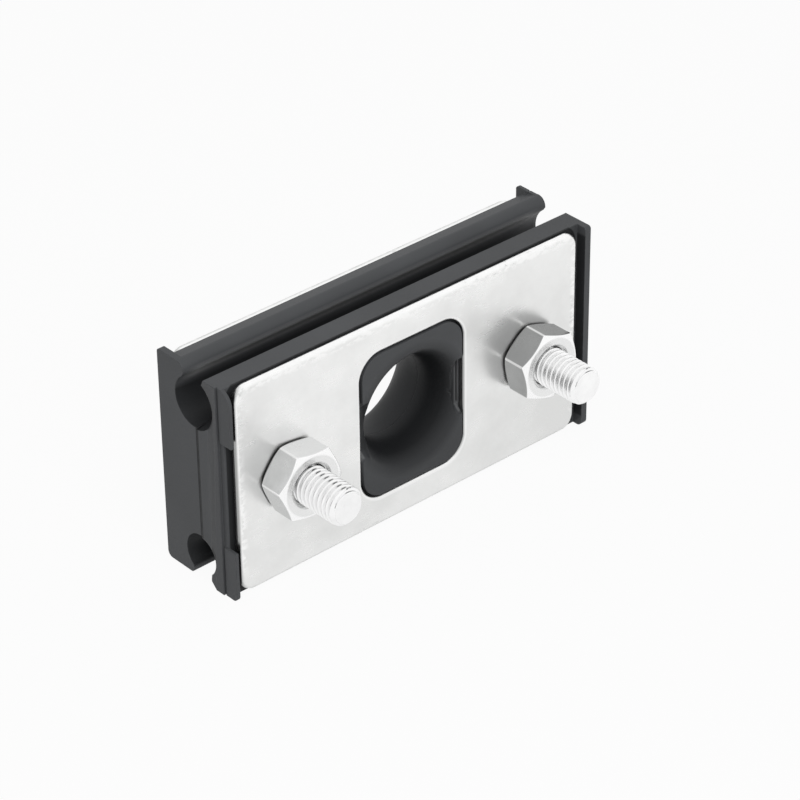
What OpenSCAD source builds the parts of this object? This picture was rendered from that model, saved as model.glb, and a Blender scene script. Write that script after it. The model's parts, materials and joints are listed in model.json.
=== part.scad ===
// Conductor suspension clamp: two moulded jaws held between steel plates by two bolts.
// X runs along the conductors, Y through the clamp from the nuts to the bolt heads, and Z up.
// The origin is the centre of the hook bore, on the middle plane between the two plates.
// The front jaw is the thinner one, so the jaws meet a little in front of that plane.

/* [Jaws] */
// Length of both jaws from the bore axis to their left end
left_len = 57; // [56.5:0.1:65]
// Length of both jaws from the bore axis to their right end
right_len = 58.2; // [56.5:0.1:65]
// Depth from the middle plane to the seat of each plate
seat_d = 10; // [9.5:0.1:11]
// Distance of the plane where the jaws meet in front of the middle plane
parting_d = 1; // [0:0.1:1.5]
// Height of the front jaw above the bore axis
front_top = 28.7; // [28.5:0.1:30]
// Height of the front jaw below the bore axis
front_bottom = 29.4; // [28.5:0.1:31]
// Height of the rear jaw's rolled lip above the bore axis
rear_top = 29.9; // [29:0.1:31]
// Height of the rear jaw below the bore axis
rear_bottom = 28.7; // [28.5:0.1:31]
// Radius of the rear jaw's rolled lip
lip_r = 2.4; // [1.5:0.1:3]
// Width of the slant on the front jaw's upper lip
lip_slant = 0.9; // [0.3:0.1:1.5]
// Height of the slant on the front jaw's upper lip
lip_drop = 2; // [1:0.1:2.5]
// Slope of the rear jaw's top from its lip down to the plate, in degrees
rear_slope = 16; // [12:0.5:18]

/* [End flanges] */
// Reach of the front jaw's flange and tabs from the middle plane
front_reach = 13; // [12.4:0.1:15]
// Reach of the rear jaw's flange and tabs from the middle plane
rear_reach = 12.8; // [12.4:0.1:15]
// Thickness of the full height flange at one end of each jaw
flange_t = 1.8; // [1.4:0.1:2]
// Thickness of the two tabs at the other end
tab_t = 0.9; // [0.8:0.1:1.2]
// Depth at which the tabs begin
tab_d = 8.4; // [7:0.1:9]
// Height of the gap between the two tabs
tab_gap_h = 29.4; // [20:0.1:32]
// Height of the gap's middle above the bore axis
tab_gap_z = -0.9; // [-3:0.1:3]
// Step of the front jaw's tabs behind its end face
front_step = 0.4; // [0.1:0.1:0.8]
// Step of the rear jaw's tabs behind its end face
rear_step = 0.1; // [0.1:0.1:0.8]
// Depth of the recess between the tabs and of the line along each tab
recess_t = 0.7; // [0.5:0.1:0.8]
// Width of the line along each tab
line_w = 0.4; // [0.3:0.1:0.8]
// Radius of the outer corner of the front jaw's upper tab
tab_r = 3.8; // [1:0.1:4.2]
// Radius of the other upper corners of flange and tabs
flange_r = 0.8; // [0.5:0.1:2]
// Radius of the lower outer corners of flange and tabs
low_corner_r = 1.6; // [0.5:0.1:3]

/* [Conductor grooves] */
// Radius of the upper groove
upper_r = 6.3; // [5.5:0.1:6.8]
// Height of the upper groove's axis above the bore axis
upper_z = 20.9; // [20:0.1:21.5]
// Width of the upper groove's mouth between the two lips
upper_mouth = 6.4; // [5:0.1:8]
// Radius of the lower groove
lower_r = 5; // [4.5:0.1:5.4]
// Depth of the lower groove's axis below the bore axis
lower_z = 21.9; // [21.5:0.1:23]
// Offset of the lower groove's axis in front of the middle plane
lower_d = 0.6; // [0:0.1:1]
// Width of the lower groove's mouth
lower_mouth = 6.6; // [5:0.1:8]
// Widening of the front jaw's upper groove at its ends, where the conductor leaves the clamp
front_upper_flare = 0.8; // [0.1:0.1:1]
// Widening of the front jaw's lower groove at its ends
front_lower_flare = 0.2; // [0.1:0.1:1]
// Widening of the rear jaw's upper groove at its ends
rear_upper_flare = 0.3; // [0.1:0.1:1]
// Widening of the rear jaw's lower groove at its ends
rear_lower_flare = 0.7; // [0.1:0.1:1]
// Length of the widened groove ends
flare_len = 3.5; // [2:0.1:5]

/* [Hook bore] */
// Radius of the bore at its throat
throat_r = 11.5; // [10:0.1:12]
// Half length of the straight throat
throat_land = 2; // [1.5:0.1:3]
// Radius of the trumpet curve from throat to rim in the front jaw
front_trumpet_r = 14; // [12:0.1:18]
// Radius of the trumpet curve from throat to rim in the rear jaw
rear_trumpet_r = 12; // [12:0.1:18]
// Radius that rounds the trumpet into the boss face
rim_r = 3; // [1:0.1:4]
// Gap between the boss round the bore and the plate window
boss_gap = 0.5; // [0.3:0.05:0.6]
// Half height of the side notches at the plate seat
notch_h = 6; // [4:0.1:8]
// Widening of the side notches towards the boss face
notch_slope = 2.1; // [0.5:0.1:3]
// Gap between the boss and the plate window in the notches
notch_gap = 0.8; // [0.5:0.1:1.2]
// Depth of that gap below the plate seat
notch_deep = 1.5; // [0.5:0.1:3]

/* [Plates] */
// Length of the plates
plate_len = 109; // [100:0.5:109.5]
// Height of the plates
plate_h = 56.9; // [54:0.1:57]
// Thickness of the plates
plate_t = 2.2; // [2:0.1:3]
// Radius of the plate corners
plate_r = 4; // [2:0.1:6]
// Width of the window
window_w = 32.9; // [32:0.1:34]
// Height of the window
window_h = 40.8; // [38:0.1:41]
// Radius of the window corners
window_r = 6.5; // [4:0.1:8]

/* [Bolts and nuts] */
// Spacing of the two bolts
bolt_span = 77; // [74:0.5:80]
// Height of the bolts above the bore axis
bolt_z = -0.7; // [-1.5:0.1:1.5]
// Diameter of the bolts
bolt_d = 10; // [8:0.1:10]
// Length of the bolts under the head
bolt_len = 45; // [42:0.5:50]
// Diameter of the bolt holes in the front plate and both jaws
hole_d = 11; // [10.8:0.1:11.5]
// Diameter of the cup heads
head_d = 24; // [20:0.5:25]
// Height of the cup heads
head_h = 5; // [4:0.1:6]
// Width of the square necks
neck_w = 10; // [9.9:0.1:10.2]
// Length of the square necks
neck_len = 5; // [4:0.1:5.5]
// Size of the nuts across the flats
nut_flats = 17; // [15:0.1:18]
// Height of the nuts
nut_h = 8; // [7:0.1:9]
// Turn of the left nut about its bolt, from where two flats face along X
left_nut_turn = -23; // [-30:1:30]
// Turn of the right nut about its bolt, from where two flats face along X
right_nut_turn = -11; // [-30:1:30]

/* [Hidden] */
$fn = 96;

face_d = seat_d + plate_t;
bolt_x = bolt_span / 2;
rear_lip_d = upper_mouth / 2 + lip_r;
over = 1;             // how far a cut runs past the solid
tall = 40;            // beyond the height of any piece
neck_play = 0.4;      // room round the square necks
thread_play = 0.05;   // room between a nut and its bolt
end_chamfer = 1;      // chamfer at the bolt's free end
nut_chamfer = 30;     // angle of the chamfer on the nut's corners
nut_land = 0.95;      // share of the flats that the flat ring on the nut's face spans
low_lip_r = 1.2;      // rounding of the rear jaw's lower lip
rim_crop = 0.15;      // how far the rim's rounding stops short of the boss face
low_slant = 1.7;      // slant of the front jaw's lower lip
head_rim = 0.8;       // straight edge under the dome of the cup head
jaw_grey = [0.25, 0.26, 0.27];
zinc_grey = [0.80, 0.81, 0.81];
nut_grey = [0.72, 0.73, 0.74];
bolt_grey = [0.88, 0.88, 0.89];

// Carries an outline of (depth, height) along the conductors from x0 to x1
module along_x(x0, x1) {
  translate([x0, 0, 0]) rotate([90, 0, 90]) linear_extrude(x1 - x0) children();
}

// Carries an outline of (length, height) through the clamp from depth d0 to d1
module through_y(d0, d1) {
  translate([0, d1, 0]) rotate([90, 0, 0]) linear_extrude(d1 - d0) children();
}

// Turns the axis of a round body from Z to Y
module round_y() {
  rotate([-90, 0, 0]) children();
}

module rounded_rectangle(w, h, r) {
  square([w - 2 * r, h], center = true);
  square([w, h - 2 * r], center = true);
  for (x = [-1, 1], z = [-1, 1])
    translate([x * (w / 2 - r), z * (h / 2 - r)]) circle(r);
}

// The waste outside a round corner whose sharp point is at the origin; the solid lies towards +x and +y
module corner_waste(r) {
  difference() {
    translate([-over, -over]) square(r + over);
    translate([r, r]) circle(r);
  }
}

// Outline cut by a groove that opens upward, about its own axis.
// Above the round groove the walls lean in to the two lips and then run straight out.
module groove_cut(r, mouth) {
  side = r * cos(45);
  lip = mouth / 2;
  circle(r);
  translate([-side, 0]) square([2 * side, side]);
  polygon([[-side, side], [-lip, r], [-lip, tall], [lip, tall], [lip, r], [side, side]]);
}

// Both grooves in the outline of a jaw; sense is 1 for the rear jaw and -1 for the front jaw
module grooves(sense) {
  translate([0, upper_z]) groove_cut(upper_r, upper_mouth);
  translate([-sense * lower_d, -lower_z]) mirror([0, 1]) groove_cut(lower_r, lower_mouth);
}

// Widened ends of both grooves; flares gives the widening of the upper and of the lower one
module groove_flares(sense, flares, tab_len, flange_len) {
  run = 1 + over / flare_len;
  places = [[0, upper_z, upper_r, flares[0]], [-sense * lower_d, -lower_z, lower_r, flares[1]]];
  for (end = [[-tab_len, 90], [flange_len, -90]], groove = places)
    translate([end[0], groove[0], groove[1]]) rotate([0, end[1], 0]) translate([0, 0, -over])
      cylinder(h = flare_len + over, r1 = groove[2] + groove[3] * run, r2 = groove[2]);
}

// The waste above the rolled lip, about its centre, and above the slope that leaves it at a tangent
module lip_waste() {
  side = lip_r * sin(rear_slope);
  rise = lip_r * cos(rear_slope);
  low = rise - (seat_d - side) * tan(rear_slope);
  difference() {
    polygon([[-lip_r - over, 0], [0, 0], [side, rise],
             [seat_d, low], [seat_d, tall], [-lip_r - over, tall]]);
    circle(lip_r);
  }
}

// Outline of the rear jaw, whose top rolls over a lip and slopes down to the plate
module rear_section() {
  low_x = lower_mouth / 2 - lower_d;
  difference() {
    translate([-parting_d, -rear_bottom]) square([seat_d + parting_d, rear_bottom + rear_top]);
    grooves(1);
    translate([rear_lip_d, rear_top - lip_r]) lip_waste();
    translate([low_x, -rear_bottom]) corner_waste(low_lip_r);
  }
}

// Outline of the front jaw, with slanted upper and lower lips
module front_section() {
  low_x = lower_mouth / 2 + lower_d;
  difference() {
    translate([parting_d, -front_bottom]) square([seat_d - parting_d, front_bottom + front_top]);
    grooves(-1);
    translate([upper_mouth / 2, front_top])
      polygon([[-over, over], [lip_slant, over], [lip_slant, 0], [0, -lip_drop], [-over, -lip_drop]]);
    translate([low_x, -front_bottom])
      polygon([[-over, -over], [low_slant, -over], [low_slant, 0], [0, low_slant], [-over, low_slant]]);
  }
}

// Outline of a jaw end that stands past the plate from depth d0; top_r rounds its upper outer corner
module end_outline(d0, reach, top, bottom, top_r) {
  difference() {
    translate([d0, -bottom]) square([reach - d0, top + bottom]);
    translate([reach, top]) rotate(180) corner_waste(top_r);
    translate([reach, -bottom]) mirror([1, 0]) corner_waste(low_corner_r);
  }
}

// Bore with a straight throat and a trumpet curve that rounds into the boss face
module hook_bore(trumpet_r) {
  swell = asin((face_d + rim_crop - throat_land - rim_r) / (trumpet_r - rim_r));
  turn_d = throat_land + trumpet_r * sin(swell);
  rim_x = throat_r + trumpet_r - (trumpet_r - rim_r) * cos(swell);
  round_y() rotate_extrude() {
    translate([0, -parting_d - over]) square([throat_r, face_d + parting_d + 2 * over]);
    difference() {
      translate([0, throat_land]) square([throat_r + trumpet_r, turn_d - throat_land]);
      translate([throat_r + trumpet_r, throat_land]) circle(trumpet_r);
    }
    difference() {
      translate([0, turn_d]) square([rim_x, face_d + over - turn_d]);
      translate([rim_x, face_d + rim_crop - rim_r]) circle(rim_r);
    }
  }
}

// Boss that fills the plate window, flush with the plate face, with a notch in each side
module boss() {
  gap = 2 * boss_gap;
  notch_top = notch_h + notch_slope * (1 + over / plate_t);
  difference() {
    through_y(seat_d - over, face_d) rounded_rectangle(window_w - gap, window_h - gap, window_r - boss_gap);
    for (side = [-1, 1])
      translate([side * (throat_r + window_w) / 2, 0, 0]) along_x(-window_w / 4, window_w / 4)
        polygon([[seat_d, -notch_h], [seat_d, notch_h],
                 [face_d + over, notch_top], [face_d + over, -notch_top]]);
  }
}

// What is cut from an end to leave its two tabs: the gap beyond the plate seat, the recess below the gap,
// the line along each tab, and the step of the tabs behind the end face
module tab_cuts(reach, tab_step) {
  gap_low = tab_gap_z - tab_gap_h / 2;
  translate([0, seat_d, gap_low]) cube([flange_t + over, reach, tab_gap_h]);
  translate([0, tab_d, gap_low]) cube([recess_t + over, reach, tab_gap_h]);
  translate([0, tab_d, -tall]) cube([recess_t + over, line_w, 2 * tall]);
  translate([0, tab_d, -tall]) cube([tab_step + over, reach, 2 * tall]);
}

// One jaw with its depth along +Y; tab_end is the end, -1 or 1, that has the tabs.
// Its children are the outlines of its section, of its flange and of its tabs.
module jaw(sense, tab_end, reach, tab_step, flares, trumpet_r) {
  tab_len = tab_end < 0 ? left_len : right_len;
  flange_len = tab_end < 0 ? right_len : left_len;
  tab_out = tab_len - tab_step;
  gap_d = face_d - seat_d + notch_deep + over;
  mirror([tab_end > 0 ? 1 : 0, 0, 0]) difference() {
    union() {
      along_x(-tab_len, flange_len) children(0);
      along_x(flange_len - flange_t, flange_len) children(1);
      along_x(-tab_out, tab_t - tab_out) children(2);
      boss();
    }
    hook_bore(trumpet_r);
    groove_flares(sense, flares, tab_len, flange_len);
    for (x = [-bolt_x, bolt_x])
      translate([x, -parting_d - over, bolt_z]) round_y()
        cylinder(h = seat_d + parting_d + 2 * over, d = hole_d);
    for (side = [-1, 1])
      translate([side * (window_w - notch_gap) / 2, face_d + over - gap_d / 2, 0])
        cube([notch_gap, gap_d, 2 * notch_h], center = true);
    translate([-tab_len - over, 0, 0]) tab_cuts(reach, tab_step);
  }
}

module front_jaw() {
  color(jaw_grey) mirror([0, 1, 0])
    jaw(-1, -1, front_reach, front_step, [front_upper_flare, front_lower_flare], front_trumpet_r) {
      front_section();
      end_outline(seat_d - over, front_reach, front_top, front_bottom, flange_r);
      end_outline(seat_d - over, front_reach, front_top, front_bottom, tab_r);
    }
}

module rear_jaw() {
  pocket = neck_w + neck_play;
  color(jaw_grey) difference() {
    jaw(1, 1, rear_reach, rear_step, [rear_upper_flare, rear_lower_flare], rear_trumpet_r) {
      rear_section();
      end_outline(rear_lip_d, rear_reach, rear_top, rear_bottom, flange_r);
      end_outline(rear_lip_d, rear_reach, rear_top, rear_bottom, flange_r);
    }
    for (x = [-bolt_x, bolt_x])
      translate([x - pocket / 2, face_d - neck_len - neck_play, bolt_z - pocket / 2])
        cube([pocket, neck_len, pocket]);
  }
}

// Plate outline with its window, without the bolt holes
module plate_outline() {
  difference() {
    rounded_rectangle(plate_len, plate_h, plate_r);
    rounded_rectangle(window_w, window_h, window_r);
  }
}

module front_plate() {
  color(zinc_grey) through_y(-face_d, -seat_d) difference() {
    plate_outline();
    for (x = [-bolt_x, bolt_x]) translate([x, bolt_z]) circle(d = hole_d);
  }
}

module rear_plate() {
  color(zinc_grey) through_y(seat_d, face_d) difference() {
    plate_outline();
    for (x = [-bolt_x, bolt_x]) translate([x, bolt_z]) square(neck_w + neck_play, center = true);
  }
}

// Cup head, square neck and plain shank with a chamfered end, about its own axis
module bolt() {
  dome_h = head_h - head_rim;
  dome_r = (pow(head_d / 2, 2) + dome_h * dome_h) / (2 * dome_h);
  color(bolt_grey) translate([0, face_d, 0]) {
    round_y() {
      cylinder(h = head_rim, d = head_d);
      intersection() {
        translate([0, 0, head_h - dome_r]) sphere(dome_r);
        translate([0, 0, head_rim / 2]) cylinder(h = head_h, d = head_d);
      }
      translate([0, 0, end_chamfer - bolt_len]) cylinder(h = bolt_len - end_chamfer / 2, d = bolt_d);
      translate([0, 0, -bolt_len]) cylinder(h = end_chamfer, d1 = bolt_d - 2 * end_chamfer, d2 = bolt_d);
    }
    translate([-neck_w / 2, -neck_len, -neck_w / 2]) cube([neck_w, neck_len + head_rim / 2, neck_w]);
  }
}

// Hexagon nut with both faces chamfered, standing on the front plate
module nut(turn) {
  corner_r = nut_flats / 2 / cos(30);
  flat_r = nut_flats / 2 * nut_land;
  wide_r = corner_r + over;
  drop = (wide_r - flat_r) * tan(nut_chamfer);
  color(nut_grey) translate([0, -face_d - nut_h, 0]) round_y() rotate(turn) difference() {
    intersection() {
      rotate(30) cylinder(h = nut_h, r = corner_r, $fn = 6);
      rotate_extrude()
        polygon([[0, 0], [flat_r, 0], [wide_r, drop], [wide_r, nut_h - drop], [flat_r, nut_h], [0, nut_h]]);
    }
    translate([0, 0, -over]) cylinder(h = nut_h + 2 * over, d = bolt_d + 2 * thread_play);
  }
}

module left_bolt() {
  translate([-bolt_x, 0, bolt_z]) bolt();
}

module right_bolt() {
  translate([bolt_x, 0, bolt_z]) bolt();
}

module left_nut() {
  translate([-bolt_x, 0, bolt_z]) nut(left_nut_turn);
}

module right_nut() {
  translate([bolt_x, 0, bolt_z]) nut(right_nut_turn);
}

front_jaw();
rear_jaw();
front_plate();
rear_plate();
left_bolt();
right_bolt();
left_nut();
right_nut();
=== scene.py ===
import json
import math

import bmesh
import bpy
import numpy as np
from mathutils import Matrix, Vector


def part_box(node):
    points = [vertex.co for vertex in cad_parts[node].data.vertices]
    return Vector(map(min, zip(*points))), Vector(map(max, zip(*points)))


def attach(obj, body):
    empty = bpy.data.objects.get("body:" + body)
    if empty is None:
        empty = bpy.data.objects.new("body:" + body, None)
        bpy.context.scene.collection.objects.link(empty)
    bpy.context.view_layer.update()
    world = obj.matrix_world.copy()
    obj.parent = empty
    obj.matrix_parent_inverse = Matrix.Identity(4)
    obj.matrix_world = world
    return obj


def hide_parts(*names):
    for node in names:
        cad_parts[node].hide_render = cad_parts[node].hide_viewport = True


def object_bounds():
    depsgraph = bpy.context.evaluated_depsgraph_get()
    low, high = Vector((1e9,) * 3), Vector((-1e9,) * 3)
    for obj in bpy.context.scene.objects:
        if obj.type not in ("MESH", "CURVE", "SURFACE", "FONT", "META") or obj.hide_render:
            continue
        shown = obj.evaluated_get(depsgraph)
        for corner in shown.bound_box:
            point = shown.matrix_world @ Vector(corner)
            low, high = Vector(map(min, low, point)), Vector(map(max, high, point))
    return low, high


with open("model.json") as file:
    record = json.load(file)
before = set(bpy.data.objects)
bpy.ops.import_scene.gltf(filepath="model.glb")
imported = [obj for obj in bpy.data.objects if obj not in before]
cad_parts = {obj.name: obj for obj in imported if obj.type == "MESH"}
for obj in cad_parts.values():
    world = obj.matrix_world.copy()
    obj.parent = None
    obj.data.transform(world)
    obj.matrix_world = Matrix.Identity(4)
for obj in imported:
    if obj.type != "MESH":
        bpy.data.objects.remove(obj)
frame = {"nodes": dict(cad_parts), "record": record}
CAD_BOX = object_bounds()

bl_info = {
    "name": "Conductor suspension clamp",
    "version": (1, 0, 0),
    "blender": (4, 5, 0),
    "location": "View3D > Sidebar > Clamp",
    "description": "Dresses a bolted conductor clamp: moulded jaws, zinc plates, "
                   "threaded bolts and nuts",
    "category": "Object",
}

SIDES = ("left", "right")

# Meshes: lengths in metres and angles in degrees
SAME_POINT = 2e-6
SAME_DEPTH = 1e-6
FLAT_ANGLE = 0.6
HARD_ANGLE = 32.0
THREAD_HARD_ANGLE = 50.0
NUT_HARD_ANGLE = 24.0
NUT_EDGE_ROWS = 3
COLUMNS = 96

# Bolts: the cup head, the square neck, the shank and the thread
SHANK_RADIUS = 0.005
SHANK_ROWS = 12
HEAD_SOFT = 0.00025
HEAD_EDGE_TURN = math.radians(35)
DOME_ROWS = 18
DOME_START = 0.02
DOME_SHARE = 0.985
SQUARE_POWER = 24.0
NECK_FALL = 0.0002
THREAD_STEP = 0.0001
CREST_END = 0.1
ROOT_START = 0.47
# CHAMFER_EDGE and CHAMFER_DARK: where the chamfer's edge lies, and the share of the thread's depth,
# and so of its painted shade, that it gets
CHAMFER_EDGE = 0.6
CHAMFER_DARK = 0.95

# Nuts: a sixth of a turn, and the cone that chamfers the faces
SIXTH = math.radians(60)
NUT_CONE = math.radians(30)

# Stage
WHITE = (1.0, 1.0, 1.0, 1.0)
FLOOR_HALF = 3.0
LAMP_SIZE = 0.7
LAMP_PLACE = (-0.3, -0.58, 0.72)
SENSOR_WIDTH = 36.0
CLIP_START = 0.01


def length(name, description, default):
    """A size in metres that a user may change."""
    return bpy.props.FloatProperty(name=name, description=description, default=default,
                                   min=0.0, precision=5, subtype="DISTANCE", unit="LENGTH")


def share(name, description, default):
    """A number from nothing to all."""
    return bpy.props.FloatProperty(name=name, description=description, default=default,
                                   min=0.0, max=1.0, subtype="FACTOR")


def paint(name, description, default):
    """A linear colour."""
    return bpy.props.FloatVectorProperty(name=name, description=description, default=default,
                                         size=3, min=0.0, max=1.0, subtype="COLOR")


def turn(name, description, degrees):
    """An angle, given here in degrees."""
    return bpy.props.FloatProperty(name=name, description=description,
                                   default=math.radians(degrees), subtype="ANGLE", unit="ROTATION")


class ClampSizes(bpy.types.PropertyGroup):
    """Sizes of the details that the frame leaves plain, and of what the materials follow."""

    jaw_edge: length("Jaw edge", "Rounding of the moulded jaws' edges", 0.0003)
    throat: length("Throat", "Radius of the straight throat of the bore", 0.0115)
    # bore_dark and bore_pale bound the painted shade in the bore: darkest inside the first, none
    # past the second
    bore_dark: length("Bore dark", "Distance from the bore's axis where the plastic is darkest",
                      0.0132)
    bore_pale: length("Bore pale", "Distance from the bore's axis where the darker plastic ends",
                      0.0185)
    # seam and plate_line are the widths of lines of painted shade
    seam: length("Seam", "Half width of the dark line where the jaws meet", 0.0006)
    plate_line: length("Plate line", "Width of the dark line on the jaws along the plates", 0.0014)
    plate_edge: length("Plate edge", "Rounding of the plates' rolled edges", 0.0009)
    plate_corner: length("Plate corner", "Radius of the plates' corners", 0.004)
    window_width: length("Window width", "Width of the plates' windows", 0.0329)
    window_height: length("Window height", "Height of the plates' windows", 0.0408)
    window_corner: length("Window corner", "Radius of the windows' corners", 0.0065)
    # rim_width is the width of the painted highlight and shade along the plates' rims and the
    # window's rim
    rim_width: length("Rim width", "Width of the brighter rim round the plates", 0.0026)
    nut_face: length("Nut face", "Radius of the nuts' flat faces inside their chamfers", 0.0081)
    nut_corner: length("Nut corner", "Distance of the nuts' corners from their axes", 0.0098)
    nut_edge: length("Nut edge", "Rounding of the nuts' edges", 0.00022)
    pitch: length("Thread pitch", "Distance from one thread crest to the next", 0.0015)
    thread_depth: length("Thread depth", "Depth of the thread below its crest", 0.0008)
    thread_length: length("Thread length", "Length of the thread from the bolt's free end", 0.026)
    run_out: length("Thread run-out", "Length over which the thread fades into the shank", 0.002)
    end_chamfer: length("End chamfer", "Chamfer at the bolt's free end", 0.001)
    head_rim: length("Head rim", "Straight edge under the dome of the cup head", 0.0008)
    neck_length: length("Neck length", "Length of the square neck under the head", 0.005)
    neck_width: length("Neck width", "Width of the square neck across its flats", 0.01)
    countersink: length("Countersink", "Depth of the countersink in each face of the nuts", 0.001)
    bore_gap: length("Bore gap", "Room between the thread crests and the nut", 0.00005)


class ClampFinishes(bpy.types.PropertyGroup):
    """Colours and gloss of the materials."""

    jaw: paint("Jaw plastic", "Charcoal of the moulded jaws", (0.066, 0.0685, 0.072))
    # Painted shade: the colour of the bore, and, darkened by a tone, of the grooves and of the
    # lines along the seam and the plates
    jaw_bore_shade: paint("Bore plastic", "Darker plastic where the hook runs in the bore",
                    (0.009, 0.0096, 0.0105))
    # Painted light: the paler colour on the mouth's overhanging wall and lip, and in the boss's
    # notches
    jaw_painted_light: paint("Worn plastic", "Paler plastic where the conductors rub in the mouth",
                    (0.28, 0.284, 0.288))
    jaw_scuff: paint("Scuffed plastic", "Paler plastic along the rubbed edges",
                     (0.12, 0.124, 0.128))
    jaw_rough: share("Jaw roughness", "Mean roughness of the moulded plastic", 0.5)
    plate: paint("Plate zinc", "Satin zinc of the plates", (0.935, 0.937, 0.93))
    # Clouds of duller plating, and the painted shade lower down and in the lower right corner
    plate_cloud_and_shade: paint("Clouded zinc", "Duller patches in the plates' plating",
                       (0.745, 0.748, 0.74))
    # Painted highlight on the rolled rims and the window's rim
    plate_rim_highlight: paint("Plate rim", "Bright zinc of the plates' rolled rims", (0.98, 0.98, 0.975))
    # Painted shade in dents along the rims and on the lower and back edges
    plate_rim_shade: paint("Plate dents", "Grey of the small dents along the rims", (0.62, 0.63, 0.62))
    # Painted shade on the plates' sheared ends
    plate_side_shade: paint("Plate sides", "Duller zinc on the plates' sheared ends", (0.30, 0.305, 0.30))
    plate_rough: share("Plate roughness", "Mean roughness of the plates", 0.3)
    # Painted dark reflection in the nuts' flats: the left nut's colour, painted highlight on its
    # upper flat, and painted shade on the right nut's flats, darker still on its upper flat
    nut: paint("Nut zinc", "Drawn zinc of the left nut's flats", (0.65, 0.655, 0.655))
    nut_rubbed: paint("Rubbed nut zinc", "Brighter zinc on the left nut's upper flat",
                      (0.84, 0.844, 0.844))
    nut_dull: paint("Dull nut zinc", "Duller drawn zinc of the right nut's flats",
                    (0.44, 0.444, 0.444))
    nut_face: paint("Nut face", "Turned zinc of the nuts' faces", (0.83, 0.833, 0.83))
    # Painted highlight on the chamfers and along the corner edges
    nut_chamfer: paint("Nut chamfer", "Bright zinc of the nuts' chamfers and edges",
                       (0.98, 0.98, 0.98))
    # Painted shade where a nut or a bolt's head stands on its plate
    nut_foot: paint("Foot line", "Dark line where a nut or a bolt's head stands on its plate",
                    (0.06, 0.06, 0.06))
    nut_rough: share("Nut roughness", "Mean roughness of the nuts", 0.25)
    bolt: paint("Bolt zinc", "Bright zinc of the bolts", (0.98, 0.98, 0.98))
    bolt_head: paint("Bolt head zinc", "Duller zinc of the cup heads", (0.7, 0.703, 0.7))
    # Painted shade at the bottom of the thread
    thread_root_shade: paint("Thread root", "Darker zinc at the bottom of the thread",
                     (0.09, 0.092, 0.092))
    bolt_rough: share("Bolt roughness", "Mean roughness of the bolts", 0.32)


class ClampStage(bpy.types.PropertyGroup):
    """Camera and light of the picture."""

    azimuth: turn("Azimuth", "Angle of the camera about the vertical axis", -41.24)
    elevation: turn("Elevation", "Angle of the camera above the floor", 32.66)
    roll: turn("Roll", "Turn of the picture about the line of sight", 0.68)
    lens: bpy.props.FloatProperty(name="Focal length", description="Focal length on a 36 mm sensor",
                                  default=147.87, subtype="DISTANCE_CAMERA", unit="CAMERA")
    place: bpy.props.FloatVectorProperty(name="Camera place", description="Where the camera stands",
                                         default=(-0.44102, -0.510443, 0.429219), size=3,
                                         subtype="TRANSLATION", unit="LENGTH")
    floor: paint("Floor", "Pale floor under the clamp", (0.62, 0.62, 0.62))
    white: share("White share", "How far the floor goes to plain white in the picture", 0.94)
    sky: share("Sky light", "Level of the light that comes from all round", 0.5)
    lamp: bpy.props.FloatProperty(name="Lamp", description="Power of the soft lamp overhead",
                                  default=6.0, min=0.0, subtype="POWER", unit="POWER")


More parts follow.
